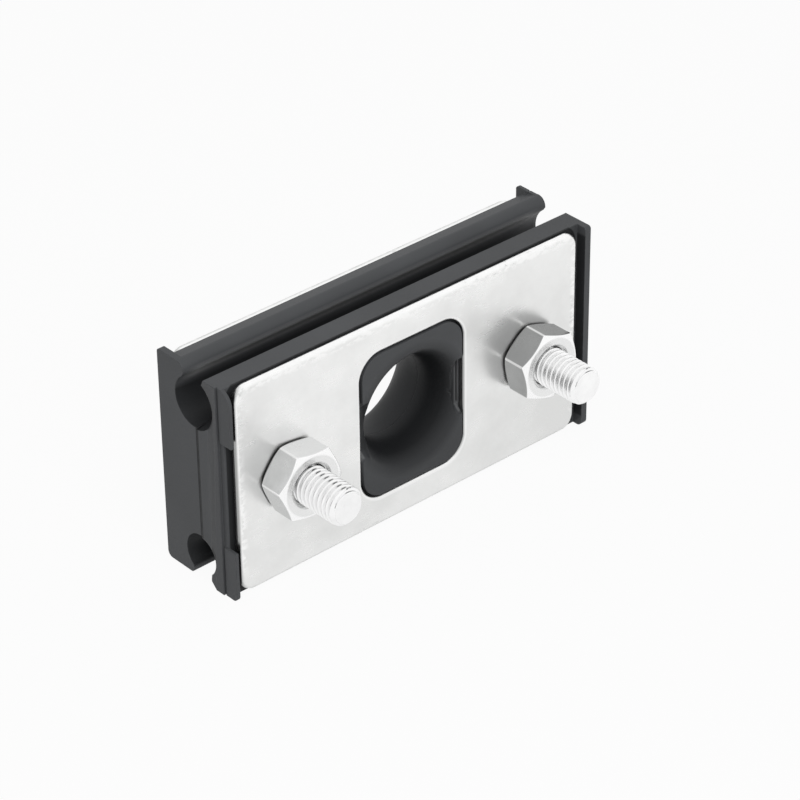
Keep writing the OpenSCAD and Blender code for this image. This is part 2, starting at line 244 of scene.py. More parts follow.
class Wire:
    """A socket of a node tree. Arithmetic on it adds Math nodes, and add() makes any other node."""

    def __init__(self, tree, socket=None):
        self.tree = tree
        self.socket = socket

    def add(self, kind, settings=None, sockets=None, out=0):
        """Makes a node, sets its settings, then its sockets by name or number; gives an output."""
        node = self.tree.nodes.new(kind)
        for key, value in (settings or {}).items():
            setattr(node, key, value)
        for key, value in (sockets or {}).items():
            if isinstance(value, Wire):
                self.tree.links.new(value.socket, node.inputs[key])
            else:
                node.inputs[key].default_value = value
        return Wire(self.tree, node.outputs[out] if len(node.outputs) else None)

    def maths(self, operation, first, second=0.0, clamp=False):
        return self.add("ShaderNodeMath", {"operation": operation, "use_clamp": clamp},
                        {0: first, 1: second})

    def __add__(self, other):
        return self.maths("ADD", self, other)

    def __sub__(self, other):
        return self.maths("SUBTRACT", self, other)

    def __rsub__(self, other):
        return self.maths("SUBTRACT", other, self)

    def __mul__(self, other):
        return self.maths("MULTIPLY", self, other)

    def __abs__(self):
        return self.maths("ABSOLUTE", self)

    __radd__ = __add__
    __rmul__ = __mul__

    def larger(self, other):
        return self.maths("MAXIMUM", self, other)

    def diagonal(self, other):
        """The root of the sum of both squares."""
        return self.maths("SQRT", self * self + other * other)

    def clamped(self):
        return self.maths("ADD", self, 0.0, clamp=True)

    def span(self, low, high):
        """The value's place between low and high, from 0 to 1."""
        return ((self - low) * (1.0 / (high - low))).clamped()

    def within(self, rise, fall):
        """1 between two slopes and 0 outside them."""
        return self.span(*rise) * self.span(*fall)

    def sway(self, amount):
        """The value's swing about its middle, a half, times an amount."""
        return (self - 0.5) * amount

    def blend(self, first, second):
        """A colour that goes from the first to the second as this value goes from 0 to 1."""
        return self.add("ShaderNodeMix", {"data_type": "RGBA"}, {0: self, 6: first, 7: second}, 2)

    def mottle(self, colour, low, high):
        """A property's colour, from a low to a high level as this value goes from 0 to 1."""
        return self.blend(rgba(colour, low), rgba(colour, high))

    def noise(self, place, scale, detail=3.0, rough=0.5):
        return self.add("ShaderNodeTexNoise", None,
                        {"Vector": place, "Scale": scale, "Detail": detail, "Roughness": rough})

    def axes(self, place):
        """The X, Y and Z of a place."""
        node = self.add("ShaderNodeSeparateXYZ", None, {0: place}).socket.node
        return [Wire(self.tree, socket) for socket in node.outputs]

    def edges(self, radius):
        """How strongly the surface turns within a radius: 0 on a flat, towards 1 at an edge."""
        plain = self.add("ShaderNodeNewGeometry", out="Normal")
        same = self.add("ShaderNodeVectorMath", {"operation": "DOT_PRODUCT"},
                        {0: self.rounded(radius), 1: plain}, 1)
        return (1.0 - same).clamped()

    def rounded(self, radius):
        """The surface's normal with the edges rounded by a radius."""
        return self.add("ShaderNodeBevel", {"samples": 8}, {"Radius": radius})

    def bump(self, height, strength, distance, normal=None):
        sockets = {"Height": height, "Strength": strength, "Distance": distance}
        return self.add("ShaderNodeBump", None, sockets | ({"Normal": normal} if normal else {}))


def rgba(colour, level=1.0):
    """A property's colour with full alpha, brightened or darkened by a level."""
    return (*[min(1.0, c * level) for c in colour], 1.0)


def new_material(name):
    """A material with no nodes yet, and the wire that adds them."""
    material = bpy.data.materials.new(name)
    material.use_nodes = True
    material.node_tree.nodes.clear()
    return material, Wire(material.node_tree)


def finish_material(wire, shader):
    wire.add("ShaderNodeOutputMaterial", None, {"Surface": shader})


def metal(wire, colour, rough, bump):
    return wire.add("ShaderNodeBsdfPrincipled", None, {
        "Base Color": colour, "Metallic": 1.0, "Roughness": rough, "Normal": bump})


def object_place(wire):
    return wire.add("ShaderNodeTexCoord", out="Object")


def object_normal(wire):
    """The X, Y and Z of the surface's normal, along the object's axes."""
    return wire.axes(wire.add("ShaderNodeTexCoord", out="Normal"))


def stretched(wire, place, scale):
    return wire.add("ShaderNodeMapping", None, {"Vector": place, "Scale": scale})


def outline_distance(wire, place, half_width, half_height, radius):
    """Distance outside a rounded rectangle in X and Z, negative inside.

    It is the length of what each of |x| and |z| has over the half size less the corner radius, less
    that radius. Inside, further in than the radius, it stays at minus the radius.
    """
    x, _, z = wire.axes(place)
    past_x = (abs(x) - (half_width - radius)).larger(0.0)
    past_z = (abs(z) - (half_height - radius)).larger(0.0)
    return past_x.diagonal(past_z) - radius


def bolt_axis(node):
    """X and Z of a bolt's axis."""
    low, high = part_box(node)
    return (low.x + high.x) / 2, (low.z + high.z) / 2


class JawMarks:
    """Masks of the painted shade and light and of the wear on the jaws, from a point's place and
    normal.

    A pair is a slope: the value where a mask is 0 and the one where it is 1. Lengths are in metres,
    and two pairs are a slope up and a slope down.
    """

    # Clouds in the plastic
    CLOUDS = (0.3, 0.7)
    CLOUD_TONES = (0.9, 1.12)

    # The normal's Y on the faces towards the plates, and its X on the end faces
    FACE_NORMAL = (0.5, 0.9)
    END_NORMAL = (0.8, 0.95)

    # The bore's throat, with painted shade in the bore and low on the boss round the bore
    THROAT_TONE = 0.4
    THROAT_DEPTH = (-0.005, 0.003)
    THROAT_CLEAR = 0.0003
    BOSS_SHADE = 0.27
    BOSS_HEIGHT = (0.004, -0.016)
    BOSS_SIDE = (0.0167, 0.0163)

    # The grooves' walls beyond their radius, with painted shade, and the upper groove's mouth and
    # lip above its axis, with painted light
    GROOVE_WALL = (0.0013, 0.0008)
    GROOVE_HEIGHT = (0.0022, 0.0004)
    GROOVE_SHARE = 0.75
    MOUTH_END = (0.0565, 0.052)
    MOUTH_HEIGHT = (0.0018, 0.0038)
    MOUTH_NORMAL = (-0.2, -0.5)
    LIP_HEIGHT = (0.003, 0.0045)
    LIP_DEPTH = (0.0, 0.0005)
    LIP_NORMAL_Y = (0.1, -0.3)
    LIP_NORMAL_Z = (0.28, -0.45)
    LIP_SHARE = 0.7

    # Painted light on the floors of the notches in the boss
    NOTCH_SIDE = ((0.0150, 0.0154), (0.0168, 0.0166))
    NOTCH_HEIGHT = (0.0085, 0.008)
    NOTCH_DEPTH = ((-0.002, -0.0017), (0.0019, 0.0015))
    NOTCH_SHARE = 0.3

    # Painted shade: the seam, and the lines beside the plates: over the seat, and past the plate's
    # outline
    SEAM_CORE = 0.4
    FLANGE_END = (0.0, -1e-6)
    FLANGE_FACE = (0.0003, 0.0006)
    SEAT_DEPTH = (-0.0004, -0.0002)
    PLATE_EDGE = (-0.0006, -0.0003)
    PLATE_CORE = 0.8
    PLATE_SHARE = 0.9
    STEP_WIDTH = (0.0023, 0.0021)
    STEP_SHARE = 0.75
    LINE_SHARE = 0.95
    SHADE_TONE = 0.6

    # Rubbed edges
    RUB_RADIUS = 0.0005
    RUB_GAIN = 2.2
    RUB_SPECKS = (0.35, 0.62)
    RUB_SHARE = 0.6

    def __init__(self, wire, place, sizes):
        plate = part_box("front_plate")[1]
        self.wire, self.sizes = wire, sizes
        self.x, self.y, self.z = wire.axes(place)
        normal_x, self.normal_y, self.normal_z = object_normal(wire)
        self.on_face = abs(self.normal_y).span(*self.FACE_NORMAL)
        self.on_end = abs(normal_x).span(*self.END_NORMAL)
        self.side = abs(self.x)
        self.from_bore = self.x.diagonal(self.z)
        self.from_plate = outline_distance(wire, place, plate.x, plate.z, sizes.plate_corner)
        self.over_seat = abs(self.y) + plate.y
        self.upper, self.above = self.groove("upper_groove")
        self.lower, _ = self.groove("lower_groove")

    def groove(self, mount):
        """1 on the wall of a conductor groove, and the height above the groove's axis."""
        groove = next(m for m in frame["record"]["mounts"] if m["name"] == mount)
        _, axis_y, axis_z = groove["pos_m"]
        radius = groove["dims"]["r_mm"] / 1000
        above = self.z - axis_z
        away = (self.y - axis_y).diagonal(above)
        return away.span(*[radius + past for past in self.GROOVE_WALL]), above

    def bore_unshaded(self):
        """0 where the painted shade in the bore is darkest and 1 outside it, with painted shade low
        on the boss.
        """
        core = self.from_bore.span(self.sizes.throat, self.sizes.bore_dark)
        throat = (self.THROAT_TONE - self.THROAT_TONE * core) * self.y.span(*self.THROAT_DEPTH)
        bore_unshaded = self.from_bore.span(self.sizes.bore_dark, self.sizes.bore_pale).larger(throat)
        low = self.BOSS_SHADE * self.on_face * self.z.span(*self.BOSS_HEIGHT)
        return bore_unshaded * (1.0 - low * self.side.span(*self.BOSS_SIDE))

    def mouth_light(self):
        """Painted light in the mouth of the upper groove: on the wall that overhangs, and on the
        rear lip's front.
        """
        wall = self.upper * self.above.span(*self.MOUTH_HEIGHT)
        wall = wall * self.normal_z.span(*self.MOUTH_NORMAL)
        lip = self.normal_z.span(*self.LIP_NORMAL_Z) * self.normal_y.span(*self.LIP_NORMAL_Y)
        lip = lip * self.y.span(*self.LIP_DEPTH) * self.above.span(*self.LIP_HEIGHT)
        return wall.larger(lip * self.LIP_SHARE) * self.side.span(*self.MOUTH_END)

    def notch_light(self):
        """Painted light in the notches in both sides of each boss."""
        mask = self.side.within(*self.NOTCH_SIDE) * abs(self.z).span(*self.NOTCH_HEIGHT)
        return mask * self.over_seat.within(*self.NOTCH_DEPTH) * self.NOTCH_SHARE

    def seam(self):
        """Painted shade: the dark line where the jaws meet, outside the bore."""
        width = self.sizes.seam
        line = abs(self.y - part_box("front_jaw")[1].y).span(width, self.SEAM_CORE * width)
        outside = self.from_bore.span(self.sizes.bore_dark, self.sizes.bore_pale)
        return line * (1.0 - self.on_face) * outside

    def plate_line(self):
        """Painted shade: the dark line on a jaw along its plate's edge, and on the flange's step
        beside it.
        """
        width = self.sizes.plate_line
        flange_end = (self.x * self.y).span(*self.FLANGE_END)
        flange_face = self.on_face * self.over_seat.span(*self.FLANGE_FACE) * flange_end
        seated = self.over_seat.span(*self.SEAT_DEPTH)
        outside = self.from_plate.span(*self.PLATE_EDGE)
        line = self.from_plate.span(width, self.PLATE_CORE * width) * outside
        line = line * seated * (1.0 - flange_face)
        step = self.on_end * self.from_plate.span(*self.STEP_WIDTH) * seated * flange_end
        return (line * self.PLATE_SHARE).larger(step * outside * self.STEP_SHARE)

    def crease_shade(self):
        """Painted shade in both grooves, and in the lines along the seam and the plates."""
        grooves = self.lower.larger(self.upper * self.above.span(*self.GROOVE_HEIGHT))
        grooves = grooves * (1.0 - self.on_end) * self.GROOVE_SHARE
        return grooves.larger(self.seam().larger(self.plate_line()) * self.LINE_SHARE)

    def rubbed(self, speck):
        """Specks along the edges, but not in the throat."""
        rub = self.wire.edges(self.RUB_RADIUS) * self.RUB_GAIN * speck.span(*self.RUB_SPECKS)
        outside = self.from_bore.span(self.sizes.throat + self.THROAT_CLEAR, self.sizes.bore_dark)
        return rub.clamped() * outside * self.RUB_SHARE


def moulded_plastic(finish, sizes):
    """Charcoal plastic with a fine moulded grain and faint clouding.

    It has painted shade in the bore, in the grooves and along the seam and the plates, and
    painted light in the mouth of the upper groove and in the boss's notches. It is paler on rubbed
    edges.
    """
    material, wire = new_material("moulded_plastic")
    place = object_place(wire)
    marks = JawMarks(wire, place, sizes)
    cloud = wire.noise(place, scale=45.0, detail=2.0)
    grain = wire.noise(place, scale=1900.0, detail=3.0, rough=0.6)
    speck = wire.noise(place, scale=420.0, detail=4.0, rough=0.65)
    body = cloud.span(*marks.CLOUDS).mottle(finish.jaw, *marks.CLOUD_TONES)
    # Painted shade in the bore, low on the boss, in the grooves and along the seam and the plates;
    # painted light in the mouth of the upper groove and in the notches
    colour = marks.bore_unshaded().blend(rgba(finish.jaw_bore_shade), body)
    colour = marks.mouth_light().blend(colour, rgba(finish.jaw_painted_light))
    colour = marks.notch_light().blend(colour, rgba(finish.jaw_painted_light))
    colour = marks.crease_shade().blend(colour, rgba(finish.jaw_bore_shade, marks.SHADE_TONE))
    colour = marks.rubbed(speck).blend(colour, rgba(finish.jaw_scuff))
    edge = wire.rounded(sizes.jaw_edge)
    shader = wire.add("ShaderNodeBsdfPrincipled", None, {
        "Base Color": colour, "Roughness": finish.jaw_rough + grain.sway(0.16) + cloud.sway(0.14),
        "Specular IOR Level": 0.18,
        "Normal": wire.bump(grain, strength=0.22, distance=0.00012, normal=edge)})
    finish_material(wire, shader)
    return material


class PlateMarks:
    """Masks of the painted light and shade and the clouds on the plates. Pairs are slopes, and
    lengths are in metres.
    """

    # Duller plating in clouds, and painted shade lower down and in the lower right corner
    CLOUDS = (0.34, 0.66)
    FINE_SHARE, BROAD_SHARE = 0.6, 0.4
    CLOUD_SHARE, HEIGHT_SHARE = 0.55, 0.45
    CORNER_SHARE = 0.4
    CORNER_X = (0.01, 0.05)
    CORNER_Z = (0.01, -0.02)

    # Rims in shares of the rim's width, and where the lower edge's height ends
    RIM = (-1.0, -0.5)
    EDGE = (-0.4, -0.2)
    WINDOW_RIM = (0.3, 0.45)
    RAISED = (0.004, 0.009)

    # Painted highlight on the rims: bright flecks, the edge above the lower edge, and the window's
    # rim
    BRIGHT_FLECKS = (0.48, 0.55)
    EDGE_SHARE = 0.75
    WINDOW_SHARE = 0.5

    # Painted shade in dents along the rims, on the lower edge and on the rear plate's back edge
    DENT_FLECKS = (0.40, 0.34)
    DENT_PATCHES = (0.45, 0.6)
    DENT_SHARE = 0.8
    LOW_FLECKS = (0.42, 0.6)
    LOW_SHARE, LOW_FLECK_SHARE = 0.35, 0.5
    BACK_DEPTH = (-0.0014, -0.0009)
    BACK_FLECKS = (0.42, 0.58)
    BACK_SHARE, BACK_FLECK_SHARE = 0.45, 0.4

    # Painted shade on the sheared ends
    END_NORMAL = (0.3, 0.8)
    END_SHARE = 0.9

    def __init__(self, wire, place, sizes):
        self.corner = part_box("front_plate")[1]
        self.x, self.y, self.z = wire.axes(place)
        self.normal_x = object_normal(wire)[0]
        self.cloud = wire.noise(place, scale=95.0, detail=4.0, rough=0.6)
        self.patch = wire.noise(place, scale=28.0, detail=2.0)
        self.fleck = wire.noise(stretched(wire, place, (0.6, 1.0, 1.0)),
                                scale=750.0, detail=3.0, rough=0.6)
        outer = outline_distance(wire, place, self.corner.x, self.corner.z, sizes.plate_corner)
        inner = outline_distance(wire, place, sizes.window_width / 2, sizes.window_height / 2,
                                 sizes.window_corner)
        width = sizes.rim_width
        self.rim = outer.span(*[width * part for part in self.RIM])
        self.edge = outer.span(*[width * part for part in self.EDGE])
        self.window_rim = 1.0 - inner.span(*[width * part for part in self.WINDOW_RIM])
        self.raised = self.z.span(*[height - self.corner.z for height in self.RAISED])

    def clouds_and_shade(self):
        """Clouds in the plating, with painted shade darker downwards and in the lower right corner.
        """
        clouds = (self.cloud * self.FINE_SHARE + self.patch * self.BROAD_SHARE).span(*self.CLOUDS)
        height = self.z.span(self.corner.z, -self.corner.z)
        corner = self.CORNER_SHARE * self.x.span(*self.CORNER_X) * self.z.span(*self.CORNER_Z)
        return (self.CLOUD_SHARE * clouds + self.HEIGHT_SHARE * height + corner).clamped()

    def bright(self):
        """Painted highlight on the rolled rim with its flecks, above the lower edge, and on the
        window's rim.
        """
        flecks = self.rim * self.fleck.span(*self.BRIGHT_FLECKS)
        rim = flecks.larger(self.edge * self.EDGE_SHARE) * self.raised
        return rim.larger(self.window_rim * self.WINDOW_SHARE)

    def rim_shade(self):
        """Painted shade in small dents along the rim, and on the greyer lower edge and rear plate's
        back edge.
        """
        rim_shade = self.rim * self.fleck.span(*self.DENT_FLECKS) * self.patch.span(*self.DENT_PATCHES)
        low = self.LOW_SHARE + self.LOW_FLECK_SHARE * self.fleck.span(*self.LOW_FLECKS)
        rim_shade = rim_shade.larger(self.edge * (1.0 - self.raised) * low)
        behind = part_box("rear_plate")[1].y
        back = self.edge * self.y.span(*[behind + depth for depth in self.BACK_DEPTH])
        back_low = self.BACK_SHARE + self.BACK_FLECK_SHARE * self.fleck.span(*self.BACK_FLECKS)
        return (rim_shade * self.DENT_SHARE).larger(back * back_low)

    def ends(self):
        """Painted shade on the sheared ends."""
        return abs(self.normal_x).span(*self.END_NORMAL) * self.END_SHARE


def plate_zinc(finish, sizes):
    """Satin zinc: cloudy plating, faint rolling streaks, painted highlight on rims with flecks,
    and painted shade in dents.

    Painted shade makes the plating darker downwards and in the lower right corner, and makes the
    lower edge, the rear plate's back edge and the sheared ends greyer.
    """
    material, wire = new_material("plate_zinc")
    place = object_place(wire)
    marks = PlateMarks(wire, place, sizes)
    streak = wire.noise(stretched(wire, place, (1.0, 14.0, 14.0)), scale=130.0, detail=3.0)
    # Clouds and painted shade, painted highlight on the rims, and painted shade in dents, on the
    # lower and back edges and on the sheared ends
    colour = marks.clouds_and_shade().blend(rgba(finish.plate), rgba(finish.plate_cloud_and_shade))
    colour = marks.bright().blend(colour, rgba(finish.plate_rim_highlight))
    colour = marks.rim_shade().blend(colour, rgba(finish.plate_rim_shade))
    colour = marks.ends().blend(colour, rgba(finish.plate_side_shade))
    rough = finish.plate_rough + marks.cloud.sway(0.16) + streak.sway(0.12)
    height = marks.cloud + streak * 0.3 + marks.rim * marks.raised * marks.fleck
    bump = wire.bump(height, strength=0.1, distance=0.0002)
    finish_material(wire, metal(wire, colour, rough, bump))
    return material


class NutMarks:
    """Slopes and tones of the nuts' zinc and of its painted light and shade. Lengths are in metres.
    """

    CLOUDS = (0.35, 0.65)
    CLOUD_TONES = (0.94, 1.06)
    # The upper flat: painted highlight on the left nut, painted shade on the right one
    UPPER_NORMAL = (0.6, 0.9)
    UPPER_SHADE_TONE = 0.66
    LEFT_TO_RIGHT = (-0.01, 0.01)
    # Painted highlight along the corners and on the chamfers
    CORNER = (-0.00019, -0.00011)
    CORNER_SHARE = 0.8
    CHAMFER = (-0.0004, 0.0)
    FACE_NORMAL = (0.4, 0.7)
    # Painted shade line at the nut's foot
    FOOT = (-0.0008, -0.0003)


def nut_zinc(finish, sizes):
    """Zinc of a nut: drawn flats with painted dark reflection, turned faces, painted highlight on
    the chamfers and edges, and a painted shade line at the foot.

    Painted shade makes the flats greyer on the right nut. The upper flat has painted highlight on
    the left nut and painted shade on the right one.
    """
    material, wire = new_material("nut_zinc")
    place = object_place(wire)
    marks = NutMarks
    axis_x, axis_z = bolt_axis("right_bolt")
    cloud = wire.noise(place, scale=240.0, detail=3.0)
    fine = wire.noise(place, scale=1500.0, detail=2.0)
    x, y, z = wire.axes(place)
    away = (abs(x) - axis_x).diagonal(z - axis_z)
    _, normal_y, normal_z = object_normal(wire)
    clouds = cloud.span(*marks.CLOUDS)
    upper = normal_z.span(*marks.UPPER_NORMAL)
    # Painted dark reflection on the flats, painted highlight on the left nut's upper flat, and
    # painted shade on the right nut, more on its upper flat
    left = upper.blend(clouds.mottle(finish.nut, *marks.CLOUD_TONES), rgba(finish.nut_rubbed))
    right = upper.blend(clouds.mottle(finish.nut_dull, *marks.CLOUD_TONES),
                        rgba(finish.nut_dull, marks.UPPER_SHADE_TONE))
    flats = x.span(*marks.LEFT_TO_RIGHT).blend(left, right)
    # Painted highlight along the corners and on the chamfers
    corner = away.span(*[sizes.nut_corner + past for past in marks.CORNER]) * marks.CORNER_SHARE
    flats = corner.blend(flats, rgba(finish.nut_chamfer))
    chamfer = away.span(*[sizes.nut_face + past for past in marks.CHAMFER])
    turned = chamfer.blend(rgba(finish.nut_face), rgba(finish.nut_chamfer))
    colour = abs(normal_y).span(*marks.FACE_NORMAL).blend(flats, turned)
    # Painted shade where the nut stands on its plate
    foot = y.span(*[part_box("front_plate")[0].y + past for past in marks.FOOT])
    colour = foot.blend(colour, rgba(finish.nut_foot))
    rough = finish.nut_rough + cloud.sway(0.14) + fine.sway(0.08)
    bump = wire.bump(cloud * 0.6 + fine * 0.4, strength=0.1, distance=0.00012)
    finish_material(wire, metal(wire, colour, rough, bump))
    return material


class BoltMarks:
    """Slopes and tones of the bolts' zinc and of its painted light and shade.

    Lengths are in metres and angles in radians, from X towards Z. The thread's depth is a share.
    """

    CLOUDS = (0.35, 0.65)
    CLOUD_TONES = (0.95, 1.04)
    HEAD_CLOUDS = (0.3, 0.7)
    HEAD_TONES = (0.93, 1.07)
    # Painted shade at the thread's root
    ROOT = (0.8, 0.98)
    ROOT_SHARE, ROOT_CLOUD_SHARE = 0.65, 0.6
    # Painted highlight: a band round the thread where the root's painted shade is mostly left out
    HIGHLIGHT_ANGLE = ((1.6, 1.75), (2.6, 2.35))
    HIGHLIGHT_SHARE = 0.8
    # Painted dark reflections on the left bolt's thread
    REFLECTION_ANGLE = ((1.22, 1.34), (1.68, 1.56))
    REFLECTION_THREAD = (0.35, 0.7)
    REFLECTION_SIDE = (0.01, -0.01)
    REFLECTION_FROM_END = (0.0012, 0.0018)
    PIT_SHARE, PIT_CLOUD_SHARE = 0.7, 0.5
    HEAD_FROM = (0.0002, 0.0005)
    # Painted shade line where the head stands on its plate
    FOOT = ((-0.0003, -0.0001), (0.0007, 0.0003))


def bolt_zinc(finish):
    """Very bright zinc of a bolt, with painted shade at the bottom of its thread, and a duller
    head.

    A band along the thread has painted highlight where the root's shade is mostly left out, and
    beside it the left bolt's thread has painted dark reflections.
    """
    material, wire = new_material("bolt_zinc")
    place = object_place(wire)
    marks = BoltMarks
    cloud = wire.noise(place, scale=260.0, detail=3.0)
    fine = wire.noise(place, scale=1700.0, detail=2.0)
    depth = wire.add("ShaderNodeAttribute", {"attribute_name": "thread_depth"}, out="Fac")
    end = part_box("right_bolt")[0].y
    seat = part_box("rear_plate")[1].y
    axis_x, axis_z = bolt_axis("right_bolt")
    x, y, z = wire.axes(place)
    angle = wire.maths("ARCTAN2", z - axis_z, x - wire.maths("SIGN", x) * axis_x)
    # Painted highlight: a band where the root's painted shade is mostly left out
    rubbed = angle.within(*marks.HIGHLIGHT_ANGLE) * marks.HIGHLIGHT_SHARE
    # Painted shade at the bottom of the thread
    root = depth.span(*marks.ROOT) * (marks.ROOT_SHARE + cloud * marks.ROOT_CLOUD_SHARE)
    # Painted dark reflections on the left bolt's thread
    dark_reflections = angle.within(*marks.REFLECTION_ANGLE) * depth.span(*marks.REFLECTION_THREAD)
    dark_reflections = dark_reflections * x.span(*marks.REFLECTION_SIDE) * y.span(*[end + past for past in marks.REFLECTION_FROM_END])
    dark_reflections = dark_reflections * (marks.PIT_SHARE + cloud * marks.PIT_CLOUD_SHARE)
    dark = (root * (1.0 - rubbed)).larger(dark_reflections).clamped()
    body = cloud.span(*marks.CLOUDS).mottle(finish.bolt, *marks.CLOUD_TONES)
    colour = dark.blend(body, rgba(finish.thread_root_shade))
    head = cloud.span(*marks.HEAD_CLOUDS).mottle(finish.bolt_head, *marks.HEAD_TONES)
    colour = y.span(*[seat + past for past in marks.HEAD_FROM]).blend(colour, head)
    # Painted shade where the head stands on its plate
    foot = y.within(*[[seat + past for past in slope] for slope in marks.FOOT])
    colour = foot.blend(colour, rgba(finish.nut_foot))
    rough = finish.bolt_rough + cloud.sway(0.14) + fine.sway(0.08)
    bump = wire.bump(cloud * 0.5 + fine * 0.5, strength=0.12, distance=0.00012)
    finish_material(wire, metal(wire, colour, rough, bump))
    return material


def put_in_scene(name, mesh, material, body, node):
    """A finished piece: it rides on its body, stands for its node and takes its slot's finish."""
    piece = bpy.data.objects.new(name, mesh)
    bpy.context.scene.collection.objects.link(piece)
    mesh.materials.clear()
    mesh.materials.append(material)
    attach(piece, body)
    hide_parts(node)
    return piece


def merged_copy(node, name):
    """A copy of a node's mesh with its loose triangles joined and its flat faces made whole."""
    mesh = frame["nodes"][node].data.copy()
    mesh.name = name
    work = bmesh.new()
    work.from_mesh(mesh)
    bmesh.ops.remove_doubles(work, verts=work.verts, dist=SAME_POINT)
    bmesh.ops.dissolve_limit(work, angle_limit=math.radians(FLAT_ANGLE), verts=work.verts,
                             edges=work.edges, delimit=set())
    work.to_mesh(mesh)
    work.free()
    smooth_shading(mesh)
    return mesh


def smooth_shading(mesh, angle=HARD_ANGLE):
    """Smooth faces with hard edges where two faces meet at more than the angle."""
    mesh.polygons.foreach_set("use_smooth", np.ones(len(mesh.polygons), bool))
    mesh.set_sharp_from_angle(angle=math.radians(angle))
    mesh.update()


def soften_edges(piece, width, segments=2, angle=HARD_ANGLE):
    """Rounds the edges that turn by more than the angle."""
    bevel = piece.modifiers.new("soft_edges", "BEVEL")
    bevel.width = width
    bevel.segments = segments
    bevel.limit_method = "ANGLE"
    bevel.angle_limit = math.radians(angle)
    bevel.use_clamp_overlap = False
    bevel.loop_slide = False
    bevel.harden_normals = True


def mesh_points(mesh):
    """A mesh's points, one row each."""
    points = np.empty(len(mesh.vertices) * 3, np.float32)
    mesh.vertices.foreach_get("co", points)
    return points.reshape(-1, 3)


def mesh_from_rows(name, rows, ends="poles"):
    """Makes a mesh from rows of points that go round an axis.

    rows has the shape (rows, columns, 3). Each point is joined to the next in its row and to the
    one below. With ends "poles" the first and last rows close in a middle point; with "ring" the
    last row joins the first.
    """
    count, columns = rows.shape[:2]
    index = np.arange(count * columns).reshape(count, columns)
    nearby = np.roll(index, -1, axis=1)
    below = np.roll(index, -1, axis=0)
    across = np.roll(nearby, -1, axis=0)
    quads = np.stack([index, below, across, nearby], axis=-1)
    points = rows.reshape(-1, 3)
    if ends == "ring":
        faces = quads.reshape(-1, 4).tolist()
    else:
        faces = quads[:-1].reshape(-1, 4).tolist()
        top, bottom = count * columns, count * columns + 1
        points = np.concatenate([points, [rows[0].mean(axis=0)], [rows[-1].mean(axis=0)]])
        first = np.stack([np.full(columns, top), index[0], nearby[0]], axis=-1)
        last = np.stack([np.full(columns, bottom), nearby[-1], index[-1]], axis=-1)
        faces += first.tolist() + last.tolist()
    mesh = bpy.data.meshes.new(name)
    mesh.from_pydata(points.tolist(), [], faces)
    work = bmesh.new()
    work.from_mesh(mesh)
    bmesh.ops.recalc_face_normals(work, faces=work.faces)
    work.to_mesh(mesh)
    work.free()
    mesh.validate()
    return mesh


def around():
    """Angles of the columns from X towards Z."""
    return np.arange(COLUMNS) * (2.0 * math.pi / COLUMNS)


def round_corner(radius, start, end, centre, steps=5):
    """Points (radius, depth) of an arc about a centre, from one angle to another."""
    angle = np.linspace(start, end, steps)
    return np.array(centre) + radius * np.stack([np.cos(angle), np.sin(angle)], axis=-1)


def axis_rows(radius, depth, angle, axis):
    """Points at a radius and angle about an axis along Y, at a depth along it."""
    return np.stack([axis[0] + radius * np.cos(angle), depth + 0.0 * angle,
                     axis[1] + radius * np.sin(angle)], axis=-1)


